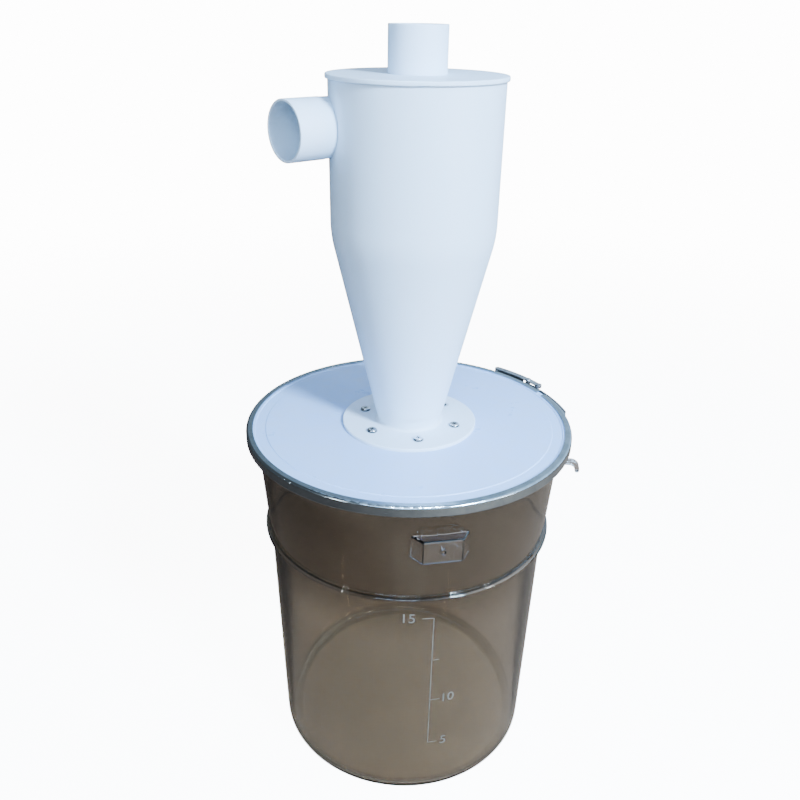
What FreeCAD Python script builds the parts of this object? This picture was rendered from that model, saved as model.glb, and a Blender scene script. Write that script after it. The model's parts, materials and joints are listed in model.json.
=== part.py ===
import FreeCAD, Part
import math
import os

from FreeCAD import Vector

# A workshop dust collector: a plastic cyclone screwed to the lid of a clear twenty-litre drum.
# The drum's lid is held down by a steel clamp ring that an over-centre lever closes.
# Millimetres. The origin is the middle of the drum's foot on the floor, +Z is up, and -Y is the front.
# An azimuth is in degrees from the front, and grows towards +X.
# A flare is how much a wall's radius grows over its height.

UP = Vector(0, 0, 1)
CENTRE = Vector(0, 0, 0)
CUT_SPARE = 1.0

# Drum: a tapered shell with a bead round it and a flared mouth
DRUM_WALL = 2.8
FOOT_R = 133.3
FOOT_CORNER = 8.0
FLOOR_THICK = 3.6
FLOOR_INNER_CORNER = 9.0
BASE_H = 18.0
BASE_FLARE = 0.8
LOWER_WALL_H = 234.0
LOWER_WALL_FLARE = 6.5
BEAD_H = 9.0
BEAD_STEP = 2.0
BEAD_PROUD = 3.7
BEAD_BAND = 4.0
BEAD_ROUND = 1.8
BEAD_ROOT_ROUND = 1.0
UPPER_WALL_H = 71.0
UPPER_WALL_FLARE = 5.4
COLLAR_H = 23.7
COLLAR_BEND_H = 12.0
COLLAR_BEND_FLARE = 1.6
COLLAR_BEND_ROUND = 10.0
COLLAR_FLARE = 3.6
RIM_OVERHANG = 5.4
RIM_THICK = 3.3
RIM_EDGE_ROUND = 0.8
MOUTH_ROUND = 1.0

# Lid and its seal
GASKET_THICK = 2.0
GASKET_WIDTH = 8.0
GASKET_INSET = 0.8
LID_INSET = 0.2
LID_THICK = 3.5
LID_EDGE_ROUND = 0.5
LID_GROOVE_INSET = 6.9
LID_GROOVE_WIDTH = 10.5
LID_GROOVE_DEPTH = 0.7

# Clamp ring: a C of sheet steel that opens inwards
RING_SHEET = 1.2
RING_GAP = 0.5
RING_LIP_GAP = 0.4
RING_INNER_CORNER = 1.2

# Cyclone body
BODY_WALL = 2.5
FLANGE_R = 65.7
FLANGE_THICK = 3.2
FLANGE_EDGE_ROUND = 0.8
NECK_R = 33.5
NECK_H = 12.3
NECK_ROOT_ROUND = 3.0
CONE_H = 185.0
CONE_SHOULDER_DROP = 12.0
CONE_SHOULDER_REACH = 10.5
BARREL_R = 74.7
BARREL_FLARE = 0.4
BARREL_H = 117.5
CAP_OVERHANG = 2.2
CAP_THICK = 4.0
CAP_EDGE_ROUND = 1.0
CAP_SPIGOT_DEPTH = 4.0
CAP_SPIGOT_WALL = 2.3
SPIGOT_CLEARANCE = 0.2

# Hose tubes
TUBE_R = 25.0
TUBE_WALL = 2.2
TUBE_LIP_ROUND = 0.6
OUTLET_STUB = 37.6
OUTLET_SHOULDER = 0.6
FINDER_DEPTH = 84.0
INLET_TOP_GAP = 13.2
INLET_AZ = -48.5
INLET_INSET = 10.3
INLET_STUB = 34.3
INLET_SHOULDER = 0.3

# Flange screws: six places, one of them empty
SCREW_INSET = 18.9
SCREW_PLACES = 6
SCREW_AZ0 = 11.2
EMPTY_PLACE = 2
SCREW_R = 2.0
SCREW_HOLE_CLEARANCE = 0.2
SCREW_HEAD_R = 4.7
SCREW_HEAD_H = 2.4
SCREW_HEAD_ROUND = 1.4
SCREW_TURN = 1.7
CROSS_LENGTH = 4.6
CROSS_WIDTH = 1.0
CROSS_DEPTH = 1.3
NUT_FLATS = 8.0
NUT_H = 3.2
SCREW_TAIL = 2.5

# Ears that take the ends of a carrying handle
EAR_AZ = 11.75
EAR_WALL = 2.2
EAR_BASE_HALF = 24.5
EAR_FACE_HALF = 17.9
EAR_REACH = 10.0
EAR_H = 22.5
EAR_BELOW_RIM = 26.2
EAR_HOLE_R = 2.4
EAR_BOSS_WALL = 1.2
EAR_BOSS_H = 0.8
EAR_ROUND = 2.4

# Hooked lug at the side of the drum
HOOK_AZ = 84.0
HOOK_WIDTH = 8.0
HOOK_THICK = 4.5
HOOK_BELOW_RIM = 22.2
HOOK_REACH = 23.5
HOOK_TURN_R = 9.0
HOOK_INNER_TURN_R = 5.6
HOOK_TIP_DROP = 3.2
HOOK_TIP_ROUND = 1.9
HOOK_EDGE_ROUND = 1.0

# Latch: bracket, lever, link and catch.
# Their places are distances round the ring from the middle of its gap, towards the lever's end.
LATCH_AZ = 116.2
LATCH_GAP = 0.3
RUNNING_GAP = 0.05
RING_END_CATCH = -5.0
RING_END_FULCRUM = 5.0
LEVER_SHEET = 1.2
LEVER_CLEAR = 1.9
LEVER_DEPTH = 6.6
LEVER_WEB_START = 43.0
LEVER_EYE_PLACE = 67.5
LEVER_END = 77.0
LEVER_EYE_R = 1.4
FULCRUM_PLACE = 16.5
LINK_PIN_PLACE = 34.0
PIN_R = 1.5
PIN_HEAD_R = 3.0
PIN_HEAD_H = 0.8
BRACKET_SHEET = 1.2
BRACKET_START = 8.0
BRACKET_END = 31.0
BRACKET_EAR_HALF = 3.2
LINK_H = 6.6
LINK_THICK = 1.5
LINK_PASS_GAP = 0.6
LINK_EYE_WALL = 1.3
LINK_END = -45.0
LINK_WINDOW_END = -39.5
LINK_WINDOW_START = -22.0
LINK_WINDOW_H = 3.2
CATCH_END = -52.0
CATCH_START = -8.0
CATCH_EDGE = 1.4
LUG_THICK = 2.2
LUG_H = 2.4
LUG_REACH = 3.0
LUG_GAP = 0.9
RIVET_R = 1.6
RIVET_HEAD_H = 0.6
RIVET_SIDE_STEP = 2.2
RIVET_INSET = 3.5

# Heights that follow from the sizes above
BEAD_Z = BASE_H + LOWER_WALL_H
UPPER_WALL_Z = BEAD_Z + BEAD_H
COLLAR_Z = UPPER_WALL_Z + UPPER_WALL_H
RIM_Z = COLLAR_Z + COLLAR_H
GASKET_Z = RIM_Z + RIM_THICK
LID_Z = GASKET_Z + GASKET_THICK
LID_TOP = LID_Z + LID_THICK
RING_Z0 = RIM_Z - RING_SHEET
RING_Z1 = LID_TOP + RING_SHEET
RING_MID_Z = (RING_Z0 + RING_Z1) / 2
FLANGE_TOP = LID_TOP + FLANGE_THICK
NECK_TOP = FLANGE_TOP + NECK_H
CONE_TOP = NECK_TOP + CONE_H
BARREL_TOP = CONE_TOP + BARREL_H
CAP_TOP = BARREL_TOP + CAP_THICK
OUTLET_TOP = CAP_TOP + OUTLET_STUB
INLET_Z = BARREL_TOP - INLET_TOP_GAP - TUBE_R

# Radii of the drum, the lid and the ring
LOWER_WALL_R0 = FOOT_R + BASE_FLARE
LOWER_WALL_R1 = LOWER_WALL_R0 + LOWER_WALL_FLARE
UPPER_WALL_R0 = LOWER_WALL_R1 + BEAD_STEP
UPPER_WALL_R1 = UPPER_WALL_R0 + UPPER_WALL_FLARE
BEAD_R = UPPER_WALL_R0 + BEAD_PROUD
COLLAR_BEND_R = UPPER_WALL_R1 + COLLAR_BEND_FLARE
COLLAR_MOUTH_R = COLLAR_BEND_R + COLLAR_FLARE
RIM_R = COLLAR_MOUTH_R + RIM_OVERHANG
GASKET_OUT_R = RIM_R - GASKET_INSET
GASKET_IN_R = GASKET_OUT_R - GASKET_WIDTH
LID_R = RIM_R - LID_INSET
LID_GROOVE_OUT_R = LID_R - LID_GROOVE_INSET
LID_GROOVE_IN_R = LID_GROOVE_OUT_R - LID_GROOVE_WIDTH
RING_WALL_R = RIM_R + RING_GAP
RING_OUT_R = RING_WALL_R + RING_SHEET
RING_LIP_R = COLLAR_MOUTH_R + RING_LIP_GAP
EAR_FACE_R = UPPER_WALL_R1 + EAR_REACH
EAR_BOSS_R = EAR_HOLE_R + EAR_BOSS_WALL
HOOK_REACH_R = UPPER_WALL_R1 + HOOK_REACH

# Radii and offsets of the cyclone
BARREL_FOOT_R = BARREL_R - BARREL_FLARE
CAP_R = BARREL_R + CAP_OVERHANG
SHOULDER_Z = CONE_TOP - CONE_SHOULDER_DROP
CONE_TAPER = (BARREL_FOOT_R - NECK_R) / (SHOULDER_Z - NECK_TOP)
CONE_SHOULDER_ROUND = CONE_SHOULDER_REACH / math.tan(math.atan(CONE_TAPER) / 2)
NECK_ROOT_R = NECK_R - CONE_TAPER * NECK_H
WALL_ACROSS = BODY_WALL * math.sqrt(1 + CONE_TAPER ** 2)
NECK_BORE_R = NECK_R - CONE_TAPER * (NECK_H + FLANGE_THICK) - WALL_ACROSS
SCREW_CIRCLE_R = FLANGE_R - SCREW_INSET
SCREW_HOLE_R = SCREW_R + SCREW_HOLE_CLEARANCE
TUBE_BORE_R = TUBE_R - TUBE_WALL
FINDER_R = TUBE_R - OUTLET_SHOULDER
INLET_ROOT_R = TUBE_R - INLET_SHOULDER
INLET_OFFSET = BARREL_R - BODY_WALL - INLET_INSET - TUBE_R
INLET_REACH = BARREL_R + INLET_STUB

# Radii and heights of the latch
LEVER_IN_R = RING_OUT_R + LEVER_CLEAR
LEVER_OUT_R = LEVER_IN_R + LEVER_DEPTH
LEVER_MID_R = (LEVER_IN_R + LEVER_OUT_R) / 2
BRACKET_OUT_R = RING_OUT_R + BRACKET_SHEET
LINK_IN_R = BRACKET_OUT_R + RIVET_HEAD_H + 2 * LATCH_GAP
LINK_EYE_R = PIN_R + LINK_EYE_WALL
FORK_HALF = LINK_H / 2 + LINK_PASS_GAP + BRACKET_SHEET
LEVER_HALF = FORK_HALF + LATCH_GAP + LEVER_SHEET
FORK_Z0 = RING_MID_Z - FORK_HALF
FORK_Z1 = RING_MID_Z + FORK_HALF
LEVER_Z0 = RING_MID_Z - LEVER_HALF
LEVER_Z1 = RING_MID_Z + LEVER_HALF


def polar(azimuth, radius, height=0.0):
    """The point at an azimuth from the front, a distance from the middle line and a height."""
    turn = math.radians(azimuth)
    return Vector(radius * math.sin(turn), -radius * math.cos(turn), height)


def round_the_ring(distance):
    """The azimuth at a distance round the ring from the middle of its gap."""
    return LATCH_AZ + math.degrees(distance / LEVER_MID_R)


def turned(shape, azimuth):
    """A copy of a shape made at the front, swung round the middle line to an azimuth."""
    copy = shape.copy()
    copy.rotate(CENTRE, UP, azimuth)
    return copy


def outline(corners):
    """A closed outline in the XZ plane from (radius, height, corner rounding) triples."""
    count = len(corners)
    starts, ends, mids = [], [], []
    for i, (r, z, rounding) in enumerate(corners):
        here = Vector(r, 0, z)
        before = Vector(corners[i - 1][0], 0, corners[i - 1][1])
        after = Vector(corners[(i + 1) % count][0], 0, corners[(i + 1) % count][1])
        to_before = (before - here).normalize()
        to_after = (after - here).normalize()
        half = to_before.getAngle(to_after) / 2
        if rounding == 0:
            starts.append(here)
            ends.append(here)
            mids.append(None)
            continue
        reach = rounding / math.tan(half)
        middle = (to_before + to_after).normalize()
        centre = here + middle * (rounding / math.sin(half))
        starts.append(here + to_before * reach)
        ends.append(here + to_after * reach)
        mids.append(centre - middle * rounding)
    edges = []
    for i in range(count):
        if mids[i] is not None:
            edges.append(Part.Arc(starts[i], mids[i], ends[i]).toShape())
        following = starts[(i + 1) % count]
        if ends[i].distanceToPoint(following) > 1e-6:
            edges.append(Part.LineSegment(ends[i], following).toShape())
    return Part.Wire(edges)


def turned_solid(corners, first_az=None, last_az=None):
    """A solid of revolution from an outline, all the way round or between two azimuths."""
    face = Part.Face(outline(corners))
    if first_az is None:
        return face.revolve(CENTRE, UP, 360)
    solid = face.revolve(CENTRE, UP, last_az - first_az)
    solid.rotate(CENTRE, UP, first_az - 90)
    return solid


def sector(r_in, r_out, z0, z1, first_az, last_az):
    """A flat curved bar: part of a ring between two azimuths."""
    corners = [(r_in, z0, 0), (r_out, z0, 0), (r_out, z1, 0), (r_in, z1, 0)]
    return turned_solid(corners, first_az, last_az)


def upright(azimuth, radius, r, z0, z1):
    """A vertical round bar at a place given by azimuth and radius."""
    return Part.makeCylinder(r, z1 - z0, polar(azimuth, radius, z0), UP)


def prism_from_plan(points, z0, z1):
    """A vertical prism over a plan outline of (x, y) points."""
    corners = [Vector(x, y, z0) for x, y in points]
    face = Part.Face(Part.makePolygon(corners + corners[:1]))
    return face.extrude(Vector(0, 0, z1 - z0))


def save(name, shape):
    """Check that a shape is sound and write it under its node's name."""
    if not shape.isValid():
        raise ValueError("bad solid in " + name)
    shape.exportStep("parts/" + name + ".step")
    print(name, "solids", len(shape.Solids), "volume", round(shape.Volume, 1))


def drum_base():
    """The drum's flat floor, with the wall's rounded root."""
    return turned_solid([
        (0, 0, 0),
        (FOOT_R, 0, FOOT_CORNER),
        (LOWER_WALL_R0, BASE_H, 0),
        (LOWER_WALL_R0 - DRUM_WALL, BASE_H, 0),
        (FOOT_R - DRUM_WALL, FLOOR_THICK, FLOOR_INNER_CORNER),
        (0, FLOOR_THICK, 0),
    ])


def drum_lower_wall():
    """The plain tapered wall between the foot and the bead."""
    return turned_solid([
        (LOWER_WALL_R0 - DRUM_WALL, BASE_H, 0),
        (LOWER_WALL_R0, BASE_H, 0),
        (LOWER_WALL_R1, BEAD_Z, 0),
        (LOWER_WALL_R1 - DRUM_WALL, BEAD_Z, 0),
    ])


def drum_bead():
    """The stiffening bead, with the bit of wall behind it."""
    bead_z0 = BEAD_Z + (BEAD_H - BEAD_BAND) / 2
    bead_z1 = bead_z0 + BEAD_BAND
    root_step = BEAD_STEP / 4
    return turned_solid([
        (LOWER_WALL_R1 - DRUM_WALL, BEAD_Z, 0),
        (LOWER_WALL_R1, BEAD_Z, 0),
        (LOWER_WALL_R1 + root_step, bead_z0 - BEAD_ROOT_ROUND, BEAD_ROOT_ROUND),
        (BEAD_R, bead_z0, BEAD_ROUND),
        (BEAD_R, bead_z1, BEAD_ROUND),
        (UPPER_WALL_R0 - root_step, bead_z1 + BEAD_ROOT_ROUND, BEAD_ROOT_ROUND),
        (UPPER_WALL_R0, UPPER_WALL_Z, 0),
        (UPPER_WALL_R0 - DRUM_WALL, UPPER_WALL_Z, 0),
    ])


def drum_upper_wall():
    """The wall above the bead, which widens faster than the lower one."""
    return turned_solid([
        (UPPER_WALL_R0 - DRUM_WALL, UPPER_WALL_Z, 0),
        (UPPER_WALL_R0, UPPER_WALL_Z, 0),
        (UPPER_WALL_R1, COLLAR_Z, 0),
        (UPPER_WALL_R1 - DRUM_WALL, COLLAR_Z, 0),
    ])


def drum_rim():
    """The flared mouth and the flat flange that the lid is clamped to."""
    bend_z = COLLAR_Z + COLLAR_BEND_H
    return turned_solid([
        (UPPER_WALL_R1 - DRUM_WALL, COLLAR_Z, 0),
        (UPPER_WALL_R1, COLLAR_Z, 0),
        (COLLAR_BEND_R, bend_z, COLLAR_BEND_ROUND),
        (COLLAR_MOUTH_R, RIM_Z - RING_SHEET, 0),
        (COLLAR_MOUTH_R, RIM_Z, 0),
        (RIM_R, RIM_Z, RIM_EDGE_ROUND),
        (RIM_R, GASKET_Z, RIM_EDGE_ROUND),
        (COLLAR_MOUTH_R - DRUM_WALL - MOUTH_ROUND, GASKET_Z, MOUTH_ROUND),
        (COLLAR_BEND_R - DRUM_WALL, bend_z, COLLAR_BEND_ROUND),
    ])


def drum_envelope():
    """Everything inside the drum's outer surface, for trimming what is moulded onto it."""
    return turned_solid([
        (0, BASE_H, 0),
        (LOWER_WALL_R0, BASE_H, 0),
        (LOWER_WALL_R1, BEAD_Z, 0),
        (UPPER_WALL_R0, UPPER_WALL_Z, 0),
        (UPPER_WALL_R1, COLLAR_Z, 0),
        (COLLAR_BEND_R, COLLAR_Z + COLLAR_BEND_H, COLLAR_BEND_ROUND),
        (COLLAR_MOUTH_R, RIM_Z, 0),
        (0, RIM_Z, 0),
    ])


def lid_gasket():
    """The flat rubber seal between the drum's rim and the lid."""
    return turned_solid([
        (GASKET_IN_R, GASKET_Z, 0),
        (GASKET_OUT_R, GASKET_Z, 0),
        (GASKET_OUT_R, LID_Z, 0),
        (GASKET_IN_R, LID_Z, 0),
    ])


def screw_azimuths():
    """The azimuths of the flange's places that hold a screw."""
    step = 360 / SCREW_PLACES
    return [SCREW_AZ0 + step * i for i in range(SCREW_PLACES) if i != EMPTY_PLACE]


def screw_holes(z0, z1):
    """Round bars that cut the flange's screw holes through a plate, the empty one too."""
    step = 360 / SCREW_PLACES
    places = [SCREW_AZ0 + step * i for i in range(SCREW_PLACES)]
    bars = [upright(az, SCREW_CIRCLE_R, SCREW_HOLE_R, z0 - CUT_SPARE, z1 + CUT_SPARE)
            for az in places]
    return Part.makeCompound(bars)


def lid_plate():
    """The lid: a flat disc with a shallow moulded groove, a middle hole and the screw holes."""
    groove_z = LID_TOP - LID_GROOVE_DEPTH
    plate = turned_solid([
        (NECK_BORE_R, LID_Z, 0),
        (LID_R, LID_Z, LID_EDGE_ROUND),
        (LID_R, LID_TOP, LID_EDGE_ROUND),
        (LID_GROOVE_OUT_R, LID_TOP, 0),
        (LID_GROOVE_OUT_R - LID_GROOVE_DEPTH, groove_z, 0),
        (LID_GROOVE_IN_R + LID_GROOVE_DEPTH, groove_z, 0),
        (LID_GROOVE_IN_R, LID_TOP, 0),
        (NECK_BORE_R, LID_TOP, 0),
    ])
    return plate.cut(screw_holes(LID_Z, LID_TOP))


def clamp_ring():
    """The C-section ring, open where the latch bridges its two ends."""
    outer_corner = RING_INNER_CORNER + RING_SHEET
    section = [
        (RING_LIP_R, RING_Z0, 0),
        (RING_OUT_R, RING_Z0, outer_corner),
        (RING_OUT_R, RING_Z1, outer_corner),
        (RING_LIP_R, RING_Z1, 0),
        (RING_LIP_R, LID_TOP, 0),
        (RING_WALL_R, LID_TOP, RING_INNER_CORNER),
        (RING_WALL_R, RIM_Z, RING_INNER_CORNER),
        (RING_LIP_R, RIM_Z, 0),
    ]
    return turned_solid(section, round_the_ring(RING_END_FULCRUM), round_the_ring(RING_END_CATCH) + 360)


def mounting_flange():
    """The cyclone's foot flange with the bottom of the cone standing on it."""
    bore_top_r = NECK_R - WALL_ACROSS
    foot = turned_solid([
        (NECK_BORE_R, LID_TOP, 0),
        (FLANGE_R, LID_TOP, 0),
        (FLANGE_R, FLANGE_TOP, FLANGE_EDGE_ROUND),
        (NECK_ROOT_R, FLANGE_TOP, NECK_ROOT_ROUND),
        (NECK_R, NECK_TOP, 0),
        (bore_top_r, NECK_TOP, 0),
    ])
    return foot.cut(screw_holes(LID_TOP, FLANGE_TOP))


def cyclone_cone():
    """The cone from the neck up to the shoulder, where it turns into the barrel."""
    return turned_solid([
        (NECK_R - WALL_ACROSS, NECK_TOP, 0),
        (NECK_R, NECK_TOP, 0),
        (BARREL_FOOT_R, SHOULDER_Z, CONE_SHOULDER_ROUND),
        (BARREL_FOOT_R, CONE_TOP, 0),
        (BARREL_FOOT_R - BODY_WALL, CONE_TOP, 0),
        (BARREL_FOOT_R - BODY_WALL, SHOULDER_Z, CONE_SHOULDER_ROUND - BODY_WALL),
    ])


def barrel_inside():
    """The space inside the barrel, for trimming the inlet tube flush with it."""
    return turned_solid([
        (0, CONE_TOP, 0),
        (BARREL_FOOT_R - BODY_WALL, CONE_TOP, 0),
        (BARREL_R - BODY_WALL, BARREL_TOP, 0),
        (0, BARREL_TOP, 0),
    ])


def inlet_bar(radius, length):
    """A round bar along the inlet's axis, from beside the middle line out to its mouth."""
    out = polar(INLET_AZ, 1.0)
    start = polar(INLET_AZ - 90, INLET_OFFSET, INLET_Z)
    return Part.makeCylinder(radius, length, start, out)


def cyclone_barrel():
    """The nearly straight barrel, with the hole that the inlet tube enters by."""
    shell = turned_solid([
        (BARREL_FOOT_R - BODY_WALL, CONE_TOP, 0),
        (BARREL_FOOT_R, CONE_TOP, 0),
        (BARREL_R, BARREL_TOP, 0),
        (BARREL_R - BODY_WALL, BARREL_TOP, 0),
    ])
    return shell.cut(inlet_bar(INLET_ROOT_R, INLET_REACH))


def inlet_tube():
    """The inlet: a straight tube off the middle line, cut flush with the barrel's inside.

    Its root is a little slimmer, so that the stub that takes the hose starts clear of the barrel.
    """
    stub = inlet_bar(TUBE_R, INLET_REACH).cut(inlet_bar(TUBE_R + CUT_SPARE, BARREL_R))
    tube = stub.fuse(inlet_bar(INLET_ROOT_R, BARREL_R)).cut(inlet_bar(TUBE_BORE_R, INLET_REACH))
    mouth = [e for e in tube.Edges if is_mouth_edge(e)]
    tube = tube.makeFillet(TUBE_LIP_ROUND, mouth)
    return tube.cut(barrel_inside())


def is_mouth_edge(edge):
    """Whether an edge is a circle round the inlet's outer end."""
    if not isinstance(edge.Curve, Part.Circle):
        return False
    reach = edge.Curve.Center.dot(polar(INLET_AZ, 1.0))
    return abs(reach - INLET_REACH) < 1e-3


def cyclone_cap():
    """The flat cap with its overhanging edge and the spigot that centres it in the barrel."""
    spigot_r = BARREL_R - BODY_WALL - SPIGOT_CLEARANCE
    spigot_in_r = spigot_r - CAP_SPIGOT_WALL
    return turned_solid([
        (FINDER_R, BARREL_TOP, 0),
        (spigot_in_r, BARREL_TOP, 0),
        (spigot_in_r, BARREL_TOP - CAP_SPIGOT_DEPTH, 0),
        (spigot_r, BARREL_TOP - CAP_SPIGOT_DEPTH, 0),
        (spigot_r, BARREL_TOP, 0),
        (CAP_R, BARREL_TOP, CAP_EDGE_ROUND),
        (CAP_R, CAP_TOP, CAP_EDGE_ROUND),
        (FINDER_R, CAP_TOP, 0),
    ])


def outlet_tube():
    """The outlet: one tube that hangs inside the barrel, with a shoulder that sits on the cap."""
    finder_z = BARREL_TOP - FINDER_DEPTH
    return turned_solid([
        (TUBE_BORE_R, finder_z, 0),
        (FINDER_R, finder_z, 0),
        (FINDER_R, CAP_TOP, 0),
        (TUBE_R, CAP_TOP, 0),
        (TUBE_R, OUTLET_TOP, TUBE_LIP_ROUND),
        (TUBE_BORE_R, OUTLET_TOP, TUBE_LIP_ROUND),
    ])


def flange_screw(azimuth):
    """A pan-head cross screw through the flange and the lid."""
    tail_z = LID_Z - NUT_H - SCREW_TAIL
    head_top = FLANGE_TOP + SCREW_HEAD_H
    screw = turned_solid([
        (0, tail_z, 0),
        (SCREW_R, tail_z, 0),
        (SCREW_R, FLANGE_TOP, 0),
        (SCREW_HEAD_R, FLANGE_TOP, 0),
        (SCREW_HEAD_R, head_top, SCREW_HEAD_ROUND),
        (0, head_top, 0),
    ])
    for length, width in ((CROSS_LENGTH, CROSS_WIDTH), (CROSS_WIDTH, CROSS_LENGTH)):
        corner = Vector(-length / 2, -width / 2, head_top - CROSS_DEPTH)
        screw = screw.cut(Part.makeBox(length, width, CROSS_DEPTH + CUT_SPARE, corner))
    screw.rotate(CENTRE, UP, azimuth * SCREW_TURN)
    screw.translate(polar(azimuth, SCREW_CIRCLE_R))
    return screw


def flange_nuts():
    """The hexagon nuts under the lid, one to a screw."""
    corner_r = NUT_FLATS / math.sqrt(3)
    nuts = []
    for azimuth in screw_azimuths():
        plan = [(corner_r * math.cos(math.radians(60 * i)),
                 corner_r * math.sin(math.radians(60 * i))) for i in range(6)]
        nut = prism_from_plan(plan, LID_Z - NUT_H, LID_Z)
        nut = nut.cut(Part.makeCylinder(SCREW_R, NUT_H, Vector(0, 0, LID_Z - NUT_H), UP))
        nut.rotate(CENTRE, UP, azimuth)
        nut.translate(polar(azimuth, SCREW_CIRCLE_R))
        nuts.append(nut)
    return Part.makeCompound(nuts)


def ear_plan(inset):
    """The ear's plan at the front of the drum, a trapezium that narrows outwards."""
    face_y = -(EAR_FACE_R - inset)
    root_y = -(UPPER_WALL_R0 - 2 * DRUM_WALL)
    slope = (EAR_BASE_HALF - EAR_FACE_HALF) / (EAR_FACE_R - UPPER_WALL_R1)
    side = inset * math.sqrt(1 + slope ** 2)
    face_half = EAR_FACE_HALF + slope * inset - side
    root_half = face_half + slope * (EAR_FACE_R - inset + root_y)
    return [(-root_half, root_y), (-face_half, face_y), (face_half, face_y), (root_half, root_y)]


def handle_ear(azimuth):
    """A hooded ear: closed at its top, front and sides, open below, with a bossed pin hole."""
    top = RIM_Z - EAR_BELOW_RIM
    bottom = top - EAR_H
    hood = prism_from_plan(ear_plan(0), bottom, top)
    outer_edges = [e for e in hood.Edges if is_ear_edge(e, top)]
    hood = hood.makeFillet(EAR_ROUND, outer_edges)
    hood = hood.cut(prism_from_plan(ear_plan(EAR_WALL), bottom - CUT_SPARE, top - EAR_WALL))
    middle = Vector(0, -EAR_FACE_R - EAR_BOSS_H, (top + bottom) / 2)
    inward = Vector(0, 1, 0)
    boss = Part.makeCylinder(EAR_BOSS_R, EAR_BOSS_H + EAR_WALL / 2, middle, inward)
    hole = Part.makeCylinder(EAR_HOLE_R, EAR_BOSS_H + 2 * EAR_WALL, middle, inward)
    hood = hood.fuse(boss).cut(hole)
    return turned(hood, azimuth).cut(drum_envelope())


def is_ear_edge(edge, top):
    """Whether an edge of the plain ear block is one of its outer top or upright corners."""
    middle = edge.CenterOfMass
    if middle.y > -UPPER_WALL_R0:
        return False
    return is_upright(edge) or abs(middle.z - top) < 1e-3


def is_upright(edge):
    """Whether an edge runs up and down."""
    return abs(edge.Vertexes[0].Z - edge.Vertexes[-1].Z) > 1


def side_hook():
    """The hooked lug: a short arm that leaves the wall level and turns down at its end."""
    top = RIM_Z - HOOK_BELOW_RIM
    inner_r = HOOK_REACH_R - HOOK_THICK
    tip_z = top - HOOK_TURN_R - HOOK_TIP_DROP
    root_r = UPPER_WALL_R0 - DRUM_WALL
    section = outline([
        (root_r, top - HOOK_THICK, 0),
        (inner_r, top - HOOK_THICK, HOOK_INNER_TURN_R),
        (inner_r, tip_z, HOOK_TIP_ROUND),
        (HOOK_REACH_R, tip_z, HOOK_TIP_ROUND),
        (HOOK_REACH_R, top, HOOK_TURN_R),
        (root_r, top, 0),
    ])
    arm = Part.Face(section).extrude(Vector(0, HOOK_WIDTH, 0))
    long_edges = [e for e in arm.Edges if is_hook_side_edge(e, root_r)]
    arm = arm.makeFillet(HOOK_EDGE_ROUND, long_edges)
    arm.translate(Vector(0, -HOOK_WIDTH / 2, 0))
    return turned(arm, HOOK_AZ - 90).cut(drum_envelope())


def is_hook_side_edge(edge, root_r):
    """Whether an edge of the plain arm runs along one of its two side faces, off its root."""
    flat = abs(edge.Vertexes[0].Y - edge.Vertexes[-1].Y) < 1e-6
    return flat and edge.CenterOfMass.x > root_r + 1e-3


def rivet(azimuth, radius_in, radius_out, z):
    """A small round-headed rivet that points outwards from the ring."""
    return Part.makeCylinder(RIVET_R, radius_out - radius_in, polar(azimuth, radius_in, z),
                             polar(azimuth, 1.0))


def rivet_pair(place):
    """Two rivets, one above the other, through a bracket's plate and the ring's wall."""
    azimuth = round_the_ring(place)
    head_r = BRACKET_OUT_R + RIVET_HEAD_H
    heights = (RING_MID_Z - RIVET_SIDE_STEP, RING_MID_Z + RIVET_SIDE_STEP)
    return [rivet(azimuth, RING_WALL_R, head_r, z) for z in heights]


def ring_rivets():
    """All the rivets that hold the latch's two brackets to the ring."""
    return Part.makeCompound(rivet_pair(CATCH_END + RIVET_INSET) + rivet_pair(BRACKET_END - RIVET_INSET))


def cut_by_rivets(shape):
    """A shape with the rivets' shanks taken out of it."""
    return shape.cut(ring_rivets())


def catch_bracket():
    """The plate at one end of the ring, with the lug that the link hooks behind."""
    half = FORK_HALF - CATCH_EDGE
    plate = sector(RING_OUT_R, BRACKET_OUT_R, RING_MID_Z - half, RING_MID_Z + half,
                   round_the_ring(CATCH_END), round_the_ring(CATCH_START))
    lug_end = LINK_WINDOW_END + LUG_GAP
    lug = sector(BRACKET_OUT_R, BRACKET_OUT_R + LUG_REACH, RING_MID_Z - LUG_H / 2,
                 RING_MID_Z + LUG_H / 2, round_the_ring(lug_end), round_the_ring(lug_end + LUG_THICK))
    return cut_by_rivets(plate.fuse(lug).removeSplitter())


def fulcrum_ear(z0):
    """One of the fulcrum bracket's two flat ears, with a rounded end round the pivot."""
    azimuth = round_the_ring(FULCRUM_PLACE)
    root = sector(RING_OUT_R, LEVER_MID_R, z0, z0 + BRACKET_SHEET,
                  round_the_ring(FULCRUM_PLACE - BRACKET_EAR_HALF),
                  round_the_ring(FULCRUM_PLACE + BRACKET_EAR_HALF))
    nose = upright(azimuth, LEVER_MID_R, BRACKET_EAR_HALF, z0, z0 + BRACKET_SHEET)
    return root.fuse(nose).removeSplitter()


def fulcrum_bracket():
    """The U-shaped bracket at the other end of the ring, which carries the lever's pivot."""
    plate = sector(RING_OUT_R, BRACKET_OUT_R, FORK_Z0, FORK_Z1,
                   round_the_ring(BRACKET_START), round_the_ring(BRACKET_END))
    body = plate.fuse(fulcrum_ear(FORK_Z0)).fuse(fulcrum_ear(FORK_Z1 - BRACKET_SHEET))
    body = body.removeSplitter().cut(latch_hole(FULCRUM_PLACE, PIN_R))
    return cut_by_rivets(body)


def latch_hole(place, radius):
    """A bar that drills an upright hole through the latch at a place round the ring."""
    return upright(round_the_ring(place), LEVER_MID_R, radius, LEVER_Z0 - CUT_SPARE, LEVER_Z1 + CUT_SPARE)


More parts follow.
